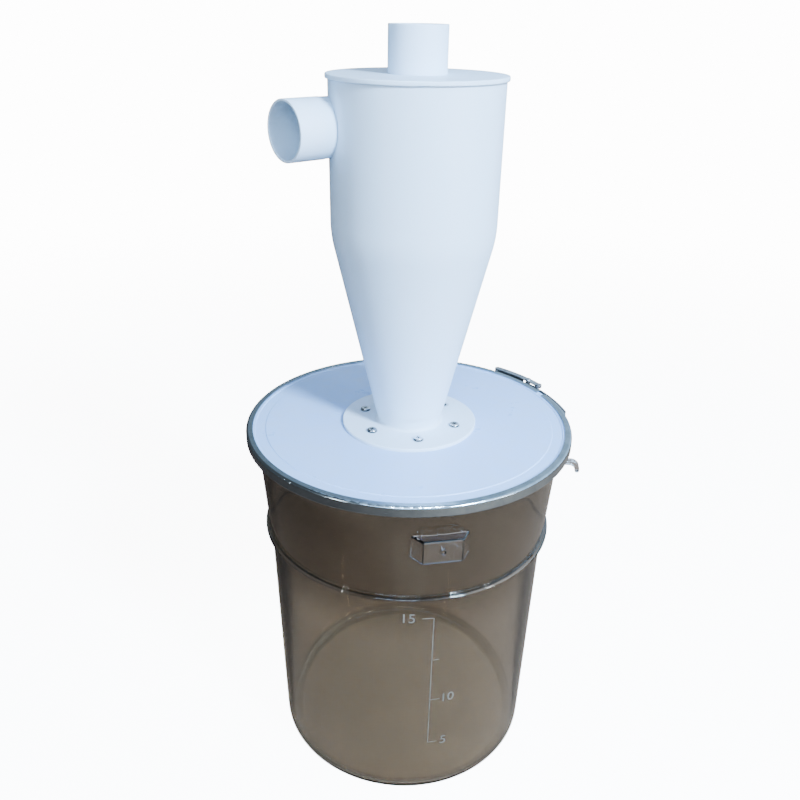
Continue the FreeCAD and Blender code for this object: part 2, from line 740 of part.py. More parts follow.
def fulcrum_pins():
    """The lever's pivot: a short pin at the top and one below, with the link free to pass between."""
    azimuth = round_the_ring(FULCRUM_PLACE)
    top_head = LEVER_Z1 + RUNNING_GAP
    low_head = LEVER_Z0 - RUNNING_GAP
    top = upright(azimuth, LEVER_MID_R, PIN_R, FORK_Z1 - BRACKET_SHEET, top_head)
    top = top.fuse(upright(azimuth, LEVER_MID_R, PIN_HEAD_R, top_head, top_head + PIN_HEAD_H))
    low = upright(azimuth, LEVER_MID_R, PIN_R, low_head, FORK_Z0 + BRACKET_SHEET)
    low = low.fuse(upright(azimuth, LEVER_MID_R, PIN_HEAD_R, low_head - PIN_HEAD_H, low_head))
    return Part.makeCompound([top, low])


def latch_lever():
    """The lever: a bent channel whose two flanges reach past the web to the pivot."""
    pivot_az = round_the_ring(FULCRUM_PLACE)
    web_az = round_the_ring(LEVER_WEB_START)
    end_az = round_the_ring(LEVER_END)
    nose_r = LEVER_DEPTH / 2
    inside_z0 = LEVER_Z0 + LEVER_SHEET
    inside_z1 = LEVER_Z1 - LEVER_SHEET
    body = sector(LEVER_OUT_R - LEVER_SHEET, LEVER_OUT_R, LEVER_Z0, LEVER_Z1, web_az, end_az)
    for z0, z1 in ((LEVER_Z0, inside_z0), (inside_z1, LEVER_Z1)):
        flange = sector(LEVER_IN_R, LEVER_OUT_R, z0, z1, pivot_az, end_az)
        body = body.fuse(flange.fuse(upright(pivot_az, LEVER_MID_R, nose_r, z0, z1)))
    tip = upright(end_az, LEVER_MID_R, nose_r, LEVER_Z0, LEVER_Z1)
    tip = tip.cut(upright(end_az, LEVER_MID_R, nose_r - LEVER_SHEET, inside_z0, inside_z1))
    inside = sector(LEVER_IN_R - CUT_SPARE, LEVER_OUT_R - LEVER_SHEET, inside_z0, inside_z1, web_az, end_az)
    body = body.fuse(tip).cut(inside).removeSplitter()
    body = body.cut(latch_hole(FULCRUM_PLACE, PIN_R + RUNNING_GAP))
    body = body.cut(latch_hole(LINK_PIN_PLACE, PIN_R))
    return body.cut(latch_hole(LEVER_EYE_PLACE, LEVER_EYE_R))


def link_pin():
    """The rivet that joins the link to the lever, headed at both ends."""
    azimuth = round_the_ring(LINK_PIN_PLACE)
    pin = upright(azimuth, LEVER_MID_R, PIN_R, LEVER_Z0, LEVER_Z1)
    top = upright(azimuth, LEVER_MID_R, PIN_HEAD_R, LEVER_Z1, LEVER_Z1 + PIN_HEAD_H)
    low = upright(azimuth, LEVER_MID_R, PIN_HEAD_R, LEVER_Z0 - PIN_HEAD_H, LEVER_Z0)
    return pin.fuse(top).fuse(low).removeSplitter()


def latch_link():
    """The link: a curved strap with an eye at the lever and a window that hooks over the lug."""
    z0 = RING_MID_Z - LINK_H / 2
    z1 = RING_MID_Z + LINK_H / 2
    link_out_r = LINK_IN_R + LINK_THICK
    pin_az = round_the_ring(LINK_PIN_PLACE)
    strap = sector(LINK_IN_R, link_out_r, z0, z1, round_the_ring(LINK_END), pin_az)
    strap = strap.fuse(upright(pin_az, LEVER_MID_R, LINK_EYE_R, z0, z1))
    window = sector(LINK_IN_R - CUT_SPARE, link_out_r + CUT_SPARE, RING_MID_Z - LINK_WINDOW_H / 2,
                    RING_MID_Z + LINK_WINDOW_H / 2, round_the_ring(LINK_WINDOW_END),
                    round_the_ring(LINK_WINDOW_START))
    strap = strap.cut(window).removeSplitter()
    return strap.cut(latch_hole(LINK_PIN_PLACE, PIN_R + RUNNING_GAP))


def main():
    """Build every piece and write it to its own file."""
    os.makedirs("parts", exist_ok=True)
    save("drum_base", drum_base())
    save("drum_lower_wall", drum_lower_wall())
    save("drum_bead", drum_bead())
    save("drum_upper_wall", drum_upper_wall())
    save("drum_rim", drum_rim())
    save("front_ear", handle_ear(EAR_AZ))
    save("back_ear", handle_ear(EAR_AZ + 180))
    save("side_hook", side_hook())
    save("lid_gasket", lid_gasket())
    save("lid_plate", lid_plate())
    save("clamp_ring", cut_by_rivets(clamp_ring()))
    save("ring_rivets", ring_rivets())
    save("catch_bracket", catch_bracket())
    save("fulcrum_bracket", fulcrum_bracket())
    save("fulcrum_pins", fulcrum_pins())
    save("latch_lever", latch_lever())
    save("link_pin", link_pin())
    save("latch_link", latch_link())
    save("mounting_flange", mounting_flange())
    save("cyclone_cone", cyclone_cone())
    save("cyclone_barrel", cyclone_barrel())
    save("inlet_tube", inlet_tube())
    save("cyclone_cap", cyclone_cap())
    save("outlet_tube", outlet_tube())
    for number, azimuth in enumerate(screw_azimuths(), start=1):
        save("flange_screw_" + str(number), flange_screw(azimuth))
    save("flange_nuts", flange_nuts())


main()
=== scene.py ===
# %% [markdown]
# # A small cyclone dust separator on a clear drum
# The real thing stands on a workshop floor between a machine and a vacuum cleaner.
# Air and dust come in at the side tube, swirl down the white cone, and the dust drops into the drum.
# The construction is already fixed: every moulded and pressed piece arrives as a finished shape.
# This lesson gives those shapes their surfaces, and models again what a plain solid can't show,
# such as a drum that is one clear moulding.

# %% Load the finished construction
import json
import math

import bmesh
import bpy
from mathutils import Matrix, Vector


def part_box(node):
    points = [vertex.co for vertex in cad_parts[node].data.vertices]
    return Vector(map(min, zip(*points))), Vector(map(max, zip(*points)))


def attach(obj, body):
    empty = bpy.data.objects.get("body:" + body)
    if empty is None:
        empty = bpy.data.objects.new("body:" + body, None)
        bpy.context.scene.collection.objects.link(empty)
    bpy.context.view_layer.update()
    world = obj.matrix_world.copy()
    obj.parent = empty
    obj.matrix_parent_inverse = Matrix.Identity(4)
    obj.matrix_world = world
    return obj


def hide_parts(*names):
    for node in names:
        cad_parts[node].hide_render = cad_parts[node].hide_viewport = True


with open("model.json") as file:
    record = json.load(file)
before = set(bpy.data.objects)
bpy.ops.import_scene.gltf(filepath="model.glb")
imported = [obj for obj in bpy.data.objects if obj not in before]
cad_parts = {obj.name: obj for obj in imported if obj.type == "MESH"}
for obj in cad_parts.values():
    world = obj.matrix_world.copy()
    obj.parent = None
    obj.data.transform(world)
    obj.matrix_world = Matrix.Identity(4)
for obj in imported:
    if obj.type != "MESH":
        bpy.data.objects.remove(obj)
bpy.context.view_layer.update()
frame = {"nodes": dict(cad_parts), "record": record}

scene = bpy.context.scene

# %% [markdown]
# ## The camera
# The object is looked down on from a little above its cap, from close by, so the near rim of the
# lid looks much wider than the far rim. A long lens further away would flatten that, so the
# camera stands less than a metre off with a 37 mm lens.

# %% Camera
CAMERA_PLACE = Vector((0.0, -0.7284, 0.7369))
CAMERA_DOWN = math.radians(25.69)
CAMERA_TURN = math.radians(0.732)
CAMERA_ROLL = math.radians(1.092)
camera_data = bpy.data.cameras.new("camera")
camera_data.sensor_width = 36.0
camera_data.lens = 36.9
camera = bpy.data.objects.new("camera", camera_data)
camera.matrix_world = (
    Matrix.Translation(CAMERA_PLACE)
    @ Matrix.Rotation(CAMERA_TURN, 4, "Z")
    @ Matrix.Rotation(math.pi / 2 - CAMERA_DOWN, 4, "X")
    @ Matrix.Rotation(CAMERA_ROLL, 4, "Z")
)
scene.collection.objects.link(camera)
scene.camera = camera
print("camera lens", camera_data.lens, "mm")

# %% [markdown]
# ## Helpers for node work
# A material is a small network. Most of the lines that build one only make a node and join its
# sockets. One helper makes a node and fills its inputs, one opens a new material with a
# Principled shader, and one joins a mixed shader in its place. Two more open a node group with
# named inputs and place it, and the last four are one line each for maths, ramps, mixes and the
# distance from the middle line.

# %% Node helpers
def add_node(tree, kind, inputs=None, **settings):
    """Make a node, set its own options, then set or link its inputs by name or number."""
    node = tree.nodes.new(kind)
    for name, value in settings.items():
        setattr(node, name, value)
    for name, value in (inputs or {}).items():
        if isinstance(value, bpy.types.NodeSocket):
            tree.links.new(value, node.inputs[name])
        else:
            node.inputs[name].default_value = value
    return node


def new_material(name):
    """An empty material with a Principled shader joined to its output."""
    material = bpy.data.materials.new(name)
    material.use_nodes = True
    tree = material.node_tree
    tree.nodes.clear()
    shader = add_node(tree, "ShaderNodeBsdfPrincipled")
    add_node(tree, "ShaderNodeOutputMaterial", {"Surface": shader.outputs[0]})
    return material, tree, shader


def surface(tree, mixed):
    """Join a mixed shader to the material's output, in place of the plain Principled one."""
    tree.links.new(mixed.outputs[0], tree.nodes["Material Output"].inputs["Surface"])


def new_group(name, inputs, outputs):
    """A shader node group; inputs is {name: (kind, value)} and outputs is {name: kind}."""
    tree = bpy.data.node_groups.new(name, "ShaderNodeTree")
    for label, (kind, value) in inputs.items():
        socket = tree.interface.new_socket(label, in_out="INPUT", socket_type=kind)
        socket.default_value = value
    for label, kind in outputs.items():
        tree.interface.new_socket(label, in_out="OUTPUT", socket_type=kind)
    return tree, tree.nodes.new("NodeGroupInput"), tree.nodes.new("NodeGroupOutput")


def use_group(tree, group, **inputs):
    """Place a group; an underscore in an input's name stands for a space."""
    node = add_node(tree, "ShaderNodeGroup", node_tree=group)
    for name, value in inputs.items():
        socket = node.inputs[name.replace("_", " ")]
        if isinstance(value, bpy.types.NodeSocket):
            tree.links.new(value, socket)
        else:
            socket.default_value = value
    return node


def maths(tree, operation, first, second=0.0, third=0.0):
    """One Math node's result."""
    node = add_node(tree, "ShaderNodeMath", {0: first, 1: second, 2: third}, operation=operation)
    return node.outputs[0]


def ramp_between(tree, value, low, high, low_result=0.0, high_result=1.0, kind="LINEAR"):
    """A clamped ramp of a value from low to high."""
    node = add_node(tree, "ShaderNodeMapRange", {
        "Value": value, "From Min": low, "From Max": high, "To Min": low_result,
        "To Max": high_result}, interpolation_type=kind)
    return node.outputs[0]


def mix_colours(tree, factor, first, second, blend="MIX"):
    """The colour between two others."""
    node = add_node(tree, "ShaderNodeMix", data_type="RGBA", blend_type=blend)
    for number, value in ((0, factor), (6, first), (7, second)):
        if isinstance(value, bpy.types.NodeSocket):
            tree.links.new(value, node.inputs[number])
        else:
            node.inputs[number].default_value = value
    return node.outputs[2]


def length_of(tree, vector):
    """A vector's length."""
    node = add_node(tree, "ShaderNodeVectorMath", {0: vector}, operation="LENGTH")
    return node.outputs["Value"]


def off_middle(tree, parts):
    """The distance from the object's upright middle line, from a place's separate parts."""
    flat = add_node(tree, "ShaderNodeCombineXYZ", {0: parts.outputs["X"], 1: parts.outputs["Y"]})
    return length_of(tree, flat.outputs[0])


FLOAT = "NodeSocketFloat"
COLOUR = "NodeSocketColor"
print("helpers ready")

# %% [markdown]
# ## Shared effect: moulded plastic
# Moulded plastic is never quite one tone: the melt cools unevenly, and handling leaves it
# slightly duller in patches. One group gives that drift in tone, a roughness that wanders round
# a middle value, and a fine orange peel height. It reads Object coordinates, so the pattern
# stays fixed to the piece.

# %% Group: moulded plastic drift
def make_drift_group():
    """Slow change of tone and roughness, with a fine orange peel."""
    tree, source, sink = new_group(
        "moulded_drift",
        {"Tone A": (COLOUR, (1, 1, 1, 1)), "Tone B": (COLOUR, (1, 1, 1, 1)),
         "Patch size": (FLOAT, 12.0), "Roughness low": (FLOAT, 0.3),
         "Roughness high": (FLOAT, 0.5), "Peel scale": (FLOAT, 400.0)},
        {"Colour": COLOUR, "Roughness": FLOAT, "Height": FLOAT},
    )
    place = add_node(tree, "ShaderNodeTexCoord").outputs["Object"]
    patches = add_node(tree, "ShaderNodeTexNoise", {
        "Vector": place, "Scale": source.outputs["Patch size"], "Detail": 3.0})
    tone = mix_colours(tree, patches.outputs["Fac"], source.outputs["Tone A"], source.outputs["Tone B"])
    smears = add_node(tree, "ShaderNodeTexNoise", {
        "Vector": place, "Scale": 34.0, "Detail": 5.0, "Roughness": 0.6})
    rough = ramp_between(tree, smears.outputs["Fac"], 0.35, 0.65,
                         source.outputs["Roughness low"], source.outputs["Roughness high"])
    peel = add_node(tree, "ShaderNodeTexNoise", {
        "Vector": place, "Scale": source.outputs["Peel scale"], "Detail": 2.0})
    tree.links.new(tone, sink.inputs["Colour"])
    tree.links.new(rough, sink.inputs["Roughness"])
    tree.links.new(peel.outputs["Fac"], sink.inputs["Height"])
    return tree


drift_group = make_drift_group()
print("group", drift_group.name)

# %% [markdown]
# ## Shared effect: hairline scuffs
# Plastic that is wiped and moved about gets fine, nearly straight hairlines in a few directions.
# A Wave texture would make them too regular. Noise that is stretched a hundredfold along one
# direction and cut off near its top makes separate hairlines, and two such layers turned
# against each other cross like real ones.

# %% Group: hairline scuffs
def make_scuff_group():
    """A mask of thin crossing hairlines, thicker where a slow noise is high."""
    tree, source, sink = new_group(
        "hairline_scuffs",
        {"Amount": (FLOAT, 0.5), "Fineness": (FLOAT, 1.0)}, {"Mask": FLOAT})
    place = add_node(tree, "ShaderNodeTexCoord").outputs["Object"]
    layers = []
    for turn in ((0.3, 0.9, 0.2), (1.2, -0.5, 0.8)):
        turned = add_node(tree, "ShaderNodeMapping", {
            "Vector": place, "Rotation": turn, "Scale": (9.0, 620.0, 620.0)})
        lines = add_node(tree, "ShaderNodeTexNoise", {
            "Vector": turned.outputs[0], "Scale": source.outputs["Fineness"], "Detail": 1.0})
        layers.append(ramp_between(tree, lines.outputs["Fac"], 0.66, 0.74))
    both = maths(tree, "MAXIMUM", layers[0], layers[1])
    where = add_node(tree, "ShaderNodeTexNoise", {"Vector": place, "Scale": 9.0, "Detail": 2.0})
    spread = ramp_between(tree, where.outputs["Fac"], 0.45, 0.7)
    mask = maths(tree, "MULTIPLY", maths(tree, "MULTIPLY", both, spread), source.outputs["Amount"])
    tree.links.new(mask, sink.inputs["Mask"])
    return tree


scuff_group = make_scuff_group()
print("group", scuff_group.name)

# %% [markdown]
# ## Shared effect: settled dust
# Fine pale dust lies on what faces up, and slides off what is steep. The piece's own normal says
# which is which, and a noise breaks the film up, so that it is never an even coat.

# %% Group: settled dust
def make_dust_group():
    """A mask that is strongest on faces that look up."""
    tree, source, sink = new_group(
        "settled_dust", {"Amount": (FLOAT, 0.3), "Clump size": (FLOAT, 60.0)}, {"Mask": FLOAT})
    place = add_node(tree, "ShaderNodeTexCoord").outputs["Object"]
    normal = add_node(tree, "ShaderNodeNewGeometry").outputs["Normal"]
    upward = add_node(tree, "ShaderNodeSeparateXYZ", {0: normal}).outputs["Z"]
    flat = ramp_between(tree, upward, 0.55, 1.0)
    clumps = add_node(tree, "ShaderNodeTexNoise", {
        "Vector": place, "Scale": source.outputs["Clump size"], "Detail": 6.0, "Roughness": 0.7})
    broken = ramp_between(tree, clumps.outputs["Fac"], 0.42, 0.72)
    mask = maths(tree, "MULTIPLY", maths(tree, "MULTIPLY", flat, broken), source.outputs["Amount"])
    tree.links.new(mask, sink.inputs["Mask"])
    return tree


dust_group = make_dust_group()
print("group", dust_group.name)

# %% [markdown]
# ## Shared effect: the grain of rolled and plated sheet
# Sheet steel is rolled, so it has a grain along its length, and a ring is bent along that length.
# The grain is noise squeezed across the direction of rolling. On the ring that direction goes
# round the middle line, so the group first turns its place into an angle, a radius and a height.

# %% Group: rolled grain round the middle line
GRAIN_ALONG = 2.0
GRAIN_ACROSS = 1600.0


def make_grain_group():
    """Fine streaks that run round the middle line, and slower cloudy patches of the plating."""
    tree, source, sink = new_group(
        "rolled_grain", {"Streak scale": (FLOAT, 1.0), "Cloud scale": (FLOAT, 40.0)},
        {"Streaks": FLOAT, "Clouds": FLOAT})
    place = add_node(tree, "ShaderNodeTexCoord").outputs["Object"]
    parts = add_node(tree, "ShaderNodeSeparateXYZ", {0: place})
    angle = maths(tree, "ARCTAN2", parts.outputs["X"], parts.outputs["Y"])
    round_place = add_node(tree, "ShaderNodeCombineXYZ", {
        0: maths(tree, "MULTIPLY", angle, GRAIN_ALONG),
        1: maths(tree, "MULTIPLY", off_middle(tree, parts), GRAIN_ACROSS),
        2: maths(tree, "MULTIPLY", parts.outputs["Z"], GRAIN_ACROSS)})
    streaks = add_node(tree, "ShaderNodeTexNoise", {
        "Vector": round_place.outputs[0], "Scale": source.outputs["Streak scale"], "Detail": 4.0})
    clouds = add_node(tree, "ShaderNodeTexNoise", {
        "Vector": place, "Scale": source.outputs["Cloud scale"], "Detail": 5.0, "Roughness": 0.65})
    tree.links.new(streaks.outputs["Fac"], sink.inputs["Streaks"])
    tree.links.new(clouds.outputs["Fac"], sink.inputs["Clouds"])
    return tree


grain_group = make_grain_group()
print("group", grain_group.name)

# %% [markdown]
# ## Shared effect: painted shade in the screw holes
# Six screw places stand evenly round the flange. Each hole is painted dark, which is painted shade
# in the recess, and a faint darker ring fades outwards from each head's edge. The six places repeat
# every sixth of a turn, so the group folds the angle into one sixth and measures the distance from
# that one screw's axis. It stops just above the flange, so that the cone over it is left out.

# %% Group: painted shade in the screw holes
SCREW_PLACES = 6
HEAD_H = 0.0024
HOLE_EDGE = (0.0036, 0.0029)
HALO_EDGE = (0.0062, 0.0046)
HALO_STRENGTH = 0.35
HOLE_SHADE_FADE_H = 0.0012


def make_hole_shade_group(first_screw):
    """A mask of painted shade that is full in each screw hole, and faint round its head."""
    tree, source, sink = new_group("painted_hole_shade", {"Amount": (FLOAT, 1.0)}, {"Mask": FLOAT})
    screw_r = math.hypot(first_screw.x, first_screw.y)
    screw_angle = math.atan2(first_screw.y, first_screw.x)
    sixth = 2 * math.pi / SCREW_PLACES
    place = add_node(tree, "ShaderNodeTexCoord").outputs["Object"]
    parts = add_node(tree, "ShaderNodeSeparateXYZ", {0: place})
    angle = maths(tree, "ARCTAN2", parts.outputs["Y"], parts.outputs["X"])
    shifted = maths(tree, "ADD", angle, 2 * math.pi + sixth / 2 - screw_angle)
    folded = maths(tree, "SUBTRACT", maths(tree, "MODULO", shifted, sixth), sixth / 2)
    radius = off_middle(tree, parts)
    forwards = maths(tree, "MULTIPLY", radius, maths(tree, "COSINE", folded))
    along = maths(tree, "SUBTRACT", forwards, screw_r)
    across = maths(tree, "MULTIPLY", radius, maths(tree, "SINE", folded))
    away = add_node(tree, "ShaderNodeCombineXYZ", {0: along, 1: across})
    distance = length_of(tree, away.outputs[0])
    # Painted shade: each hole is painted dark; the faint ring below fades outwards from each head's
    # edge.
    hole = ramp_between(tree, distance, *HOLE_EDGE)
    halo = ramp_between(tree, distance, *HALO_EDGE, 0.0, HALO_STRENGTH, kind="SMOOTHSTEP")
    flange_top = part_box("flange_screw_1")[1].z - HEAD_H
    low_down = ramp_between(tree, parts.outputs["Z"], flange_top + HOLE_SHADE_FADE_H, flange_top)
    spot = maths(tree, "MULTIPLY", maths(tree, "MAXIMUM", hole, halo), low_down)
    tree.links.new(maths(tree, "MULTIPLY", spot, source.outputs["Amount"]), sink.inputs["Mask"])
    return tree


screw_low, screw_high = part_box("flange_screw_1")
hole_shade_group = make_hole_shade_group((screw_low + screw_high) / 2)
print("group", hole_shade_group.name)

# %% [markdown]
# ## The white body plastic
# The cyclone is welded up from polypropylene, a waxy plastic with a cool white tone and a satin
# skin. Light goes a few millimetres into it and comes out again, so its shadows are soft and
# its thin edges glow. Subsurface weight gives that. Faint upright flow lines come from a noise
# that is stretched along the height. The lid wears in the same way, so dust, the painted shade
# in the screw holes, dullness and scratches are one function that both use.

# %% Material: white polypropylene
# Dark tone of the painted shade in the screw holes and of the faint ring round each head.
HOLE_SHADE_TONE = (0.035, 0.033, 0.03, 1)
SCUFF_DEPTH = 0.6
PEEL_DEPTH = 0.0005
MILKY_BEND = 1.49
GLOW_RADIUS = (0.9, 0.95, 1.0)


def milky_skin(tree, shader, base, drift, scuffs, dust, dust_tone, dulling, relief):
    """Lay dust and the painted hole shade on a milky plastic's base tone, and join its tone, dullness
    and bump.
    """
    dusty = mix_colours(tree, dust.outputs["Mask"], base, dust_tone)
    hole_darkening = use_group(tree, hole_shade_group, Amount=1.0)
    darkened = mix_colours(tree, hole_darkening.outputs["Mask"], dusty, HOLE_SHADE_TONE)
    wear = maths(tree, "ADD", scuffs.outputs["Mask"], dust.outputs["Mask"])
    rough = maths(tree, "ADD", drift.outputs["Roughness"], maths(tree, "MULTIPLY", wear, dulling))
    scratched = maths(tree, "MULTIPLY", scuffs.outputs["Mask"], SCUFF_DEPTH)
    height = maths(tree, "SUBTRACT", drift.outputs["Height"], scratched)
    bump = add_node(tree, "ShaderNodeBump", {
        "Height": height, "Strength": relief, "Distance": PEEL_DEPTH})
    tree.links.new(darkened, shader.inputs["Base Color"])
    tree.links.new(rough, shader.inputs["Roughness"])
    tree.links.new(bump.outputs["Normal"], shader.inputs["Normal"])
    shader.inputs["Subsurface Radius"].default_value = GLOW_RADIUS
    shader.inputs["IOR"].default_value = MILKY_BEND


def white_plastic():
    """Cool white polypropylene, satin, with flow lines, hairlines and a trace of dust."""
    material, tree, shader = new_material("white_plastic")
    drift = use_group(tree, drift_group,
                      Tone_A=(0.62, 0.80, 0.985, 1), Tone_B=(0.68, 0.84, 0.99, 1), Patch_size=7.0,
                      Roughness_low=0.34, Roughness_high=0.48, Peel_scale=260.0)
    place = add_node(tree, "ShaderNodeTexCoord").outputs["Object"]
    tall = add_node(tree, "ShaderNodeMapping", {"Vector": place, "Scale": (55.0, 55.0, 2.5)})
    flow = add_node(tree, "ShaderNodeTexNoise", {"Vector": tall.outputs[0], "Scale": 1.0, "Detail": 3.0})
    flow_mask = ramp_between(tree, flow.outputs["Fac"], 0.35, 0.75, 0.0, 0.35)
    streaked = mix_colours(tree, flow_mask, drift.outputs["Colour"], (0.74, 0.82, 0.97, 1))
    scuffs = use_group(tree, scuff_group, Amount=0.5, Fineness=1.0)
    dust = use_group(tree, dust_group, Amount=0.16, Clump_size=70.0)
    milky_skin(tree, shader, streaked, drift, scuffs, dust,
               dust_tone=(0.60, 0.62, 0.64, 1), dulling=0.3, relief=0.06)
    shader.inputs["Subsurface Weight"].default_value = 0.35
    shader.inputs["Subsurface Scale"].default_value = 0.006
    return material


white = white_plastic()
print("material", white.name)

# %% [markdown]
# ## The lid's sheet
# The lid is cut from a thinner, milkier sheet than the body. It is a little bluer, and it is
# smoother on top, where the press plate touched it. A clear coat gives the faint sheen that
# shows towards the far side, with a duller film where the dust lies.

# %% Material: milky lid sheet
def lid_plastic():
    """Milky blue-white sheet, slightly glossy, with hairlines that show in the sheen."""
    material, tree, shader = new_material("lid_plastic")
    drift = use_group(tree, drift_group, Tone_A=(0.34, 0.56, 0.94, 1), Tone_B=(0.39, 0.60, 0.96, 1),
                      Patch_size=5.0, Roughness_low=0.26, Roughness_high=0.38, Peel_scale=180.0)
    scuffs = use_group(tree, scuff_group, Amount=0.9, Fineness=0.8)
    dust = use_group(tree, dust_group, Amount=0.22, Clump_size=45.0)
    milky_skin(tree, shader, drift.outputs["Colour"], drift, scuffs, dust,
               dust_tone=(0.58, 0.61, 0.64, 1), dulling=0.35, relief=0.05)
    shader.inputs["Subsurface Weight"].default_value = 0.4
    shader.inputs["Subsurface Scale"].default_value = 0.005
    shader.inputs["Coat Weight"].default_value = 0.15
    shader.inputs["Coat Roughness"].default_value = 0.18
    return material


lid_sheet = lid_plastic()
print("material", lid_sheet.name)

# %% [markdown]
# ## The smoked drum plastic
# The drum is clear polycarbonate with a brown-grey smoke in it, so chips can be seen rising.
# It is modelled with a real wall, an outer and an inner skin, so full transmission bends light
# twice at each wall, as the real one does. The tint darkens towards the mouth, and a darker band
# lies in the corner round the foot; both are painted shade. A glass surface would throw a black
# shadow, so for shadow rays the shader is swapped for a plain transparent one with a light tint.
# Which clear plastic it is can't be told by looking. The drum's IOR is set a little under
# polycarbonate's, and that of the ears and the hook a little over it with a paler tint, so that
# their edges stand out from the wall behind them.

# %% Material: smoked polycarbonate
# The top tint is the smoke with painted shade in it, darker towards the mouth.
SMOKE_TOP_SHADED = (0.43, 0.385, 0.325, 1)
SMOKE_BOTTOM = (0.70, 0.66, 0.60, 1)
SMOKE_SHADOW = (0.86, 0.84, 0.81, 1)
# The corner tint and its band are painted shade round the foot.
CORNER_SHADE_TINT = (0.52, 0.485, 0.42, 1)
CORNER_SHADE_Z = (0.0125, 0.0095)
CORNER_SHADE_R = (0.1195, 0.1225)
EAR_TINT = (0.95, 0.93, 0.93, 1)
EAR_BEND = 1.62


def smoked_plastic(name, low_tint, high_tint, polish, haze, bend=1.45):
    """Clear smoke-brown plastic with wiping marks; haze is its roughest patch, bend its IOR."""
    material, tree, shader = new_material(name)
    place = add_node(tree, "ShaderNodeTexCoord").outputs["Object"]
    parts = add_node(tree, "ShaderNodeSeparateXYZ", {0: place})
    height_up = parts.outputs["Z"]
    upper_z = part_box("drum_upper_wall")[0].z
    # Painted shade: the tint darkens towards the mouth.
    mouth_shade = ramp_between(tree, height_up, upper_z * 0.75, upper_z * 1.02, kind="SMOOTHSTEP")
    even = mix_colours(tree, mouth_shade, low_tint, high_tint)
    # Painted shade: a darker band in the corner round the foot.
    corner_shade = maths(tree, "MULTIPLY", ramp_between(tree, height_up, *CORNER_SHADE_Z),
                      ramp_between(tree, off_middle(tree, parts), *CORNER_SHADE_R))
    tint = mix_colours(tree, corner_shade, even, CORNER_SHADE_TINT)
    drift = use_group(tree, drift_group, Tone_A=(0.95, 0.95, 0.95, 1), Tone_B=(1, 1, 1, 1),
                      Patch_size=6.0, Roughness_low=polish, Roughness_high=haze, Peel_scale=28.0)
    cloudy = mix_colours(tree, 1.0, tint, drift.outputs["Colour"], blend="MULTIPLY")
    scuffs = use_group(tree, scuff_group, Amount=0.7, Fineness=1.2)
    rough = maths(tree, "ADD", drift.outputs["Roughness"],
                  maths(tree, "MULTIPLY", scuffs.outputs["Mask"], 0.06))
    bump = add_node(tree, "ShaderNodeBump", {
        "Height": drift.outputs["Height"], "Strength": 0.03, "Distance": 0.0006})
    tree.links.new(cloudy, shader.inputs["Base Color"])
    tree.links.new(rough, shader.inputs["Roughness"])
    tree.links.new(bump.outputs["Normal"], shader.inputs["Normal"])
    shader.inputs["Transmission Weight"].default_value = 1.0
    shader.inputs["IOR"].default_value = bend
    clear = add_node(tree, "ShaderNodeBsdfTransparent", {"Color": SMOKE_SHADOW})
    path = add_node(tree, "ShaderNodeLightPath")
    mix = add_node(tree, "ShaderNodeMixShader", {
        0: path.outputs["Is Shadow Ray"], 1: shader.outputs[0], 2: clear.outputs[0]})
    surface(tree, mix)
    return material


smoke = smoked_plastic("smoked_plastic", SMOKE_BOTTOM, SMOKE_TOP_SHADED, 0.0, 0.006)
ear_smoke = smoked_plastic("smoked_moulding", EAR_TINT, EAR_TINT, 0.01, 0.05, EAR_BEND)
print("materials", smoke.name, ear_smoke.name)

# %% [markdown]
# ## Zinc plated steel
# The ring, the latch and the screws are steel with a thin zinc coat. Metals take all their look
# from what they mirror, so the base colour is a mid grey with a touch of blue, the roughness
# follows the rolled grain, and cloudy patches show where the plating bath left it duller.

# %% Material: plated steel
STREAK_RELIEF = 0.3
STREAK_DEPTH = 0.00004


def plated_steel(name, tone_dark, tone_light, rough_low, rough_high):
    """Plated sheet with a grain, clouds and a few dull specks."""
    material, tree, shader = new_material(name)
    grain = use_group(tree, grain_group, Streak_scale=1.0, Cloud_scale=55.0)
    clouds = ramp_between(tree, grain.outputs["Clouds"], 0.38, 0.66)
    tone = mix_colours(tree, clouds, tone_dark, tone_light)
    streaks = ramp_between(tree, grain.outputs["Streaks"], 0.3, 0.7)
    scuffs = use_group(tree, scuff_group, Amount=0.8, Fineness=1.4)
    worn = mix_colours(tree, scuffs.outputs["Mask"], tone, tone_light)
    plating = ramp_between(tree, grain.outputs["Clouds"], 0.35, 0.7, rough_high, rough_low)
    rough = maths(tree, "ADD", plating, maths(tree, "MULTIPLY", streaks, 0.08))
    bump = add_node(tree, "ShaderNodeBump", {
        "Height": streaks, "Strength": STREAK_RELIEF, "Distance": STREAK_DEPTH})
    tree.links.new(worn, shader.inputs["Base Color"])
    tree.links.new(rough, shader.inputs["Roughness"])
    tree.links.new(bump.outputs["Normal"], shader.inputs["Normal"])
    shader.inputs["Metallic"].default_value = 1.0
    return material


ring_steel = plated_steel("ring_steel", (0.27, 0.315, 0.345, 1), (0.36, 0.415, 0.455, 1), 0.13, 0.20)
latch_steel = plated_steel("latch_steel", (0.30, 0.31, 0.33, 1), (0.48, 0.50, 0.52, 1), 0.24, 0.42)
print("materials", ring_steel.name, latch_steel.name)

# %% [markdown]
# ## The screws
# A screw head is brighter than the sheet round it, but its cross is nearly black, because
# driver grime and shadow fill it. The cross is cut into the head, so its floor is lower than
# the head's crown, and a ramp over the height paints it dark, with grime and painted shade. The
# same painted shade darkens the lower side of each head and the shank. Below the flange the shank
# has its thread, which is bump only, because it shows just as a blur through the smoked wall.

# %% Material: screw steel
THREAD_PITCH = 0.0007
CROSS_FLOOR_DROP = 0.0012
CROWN_DROP = 0.0003
THREAD_FADE_H = 0.0005


